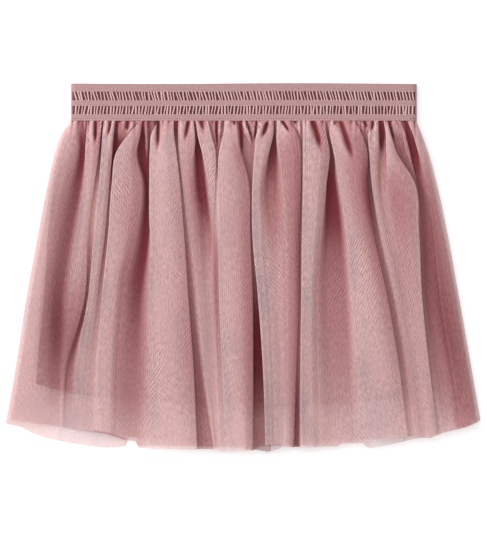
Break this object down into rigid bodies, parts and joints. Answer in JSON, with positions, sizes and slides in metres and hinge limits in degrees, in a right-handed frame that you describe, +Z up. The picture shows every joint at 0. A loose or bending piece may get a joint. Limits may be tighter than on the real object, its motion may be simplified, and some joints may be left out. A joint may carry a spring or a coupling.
{
  "type": "tulle skirt",
  "caption": "Child's gathered skirt laid flat: wide elastic waistband, layered sheer tulle and a shorter jersey lining.",
  "frame": {"origin": "under the middle of the skirt's outline, on the surface that it lies on", "axes": "+Z up, away from the surface; +Y along the skirt from hem to waistband; +X across the skirt to the right as seen from above"},
  "size_m": [0.3245, 0.25, 0.0165],
  "materials": {
    "elastic": "woven elastic with ladder rows",
    "tulle": "soft fine net, sheer",
    "under_tulle": "soft fine net, sheer",
    "jersey": "matt fine jersey"
  },
  "bodies": {
    "root": {"waistband": "elastic", "tulle_top_front": "tulle", "tulle_top_back": "tulle", "tulle_under_front": "under_tulle", "tulle_under_back": "under_tulle", "lining_front": "jersey", "lining_back": "jersey"}
  },
  "joints": []
}
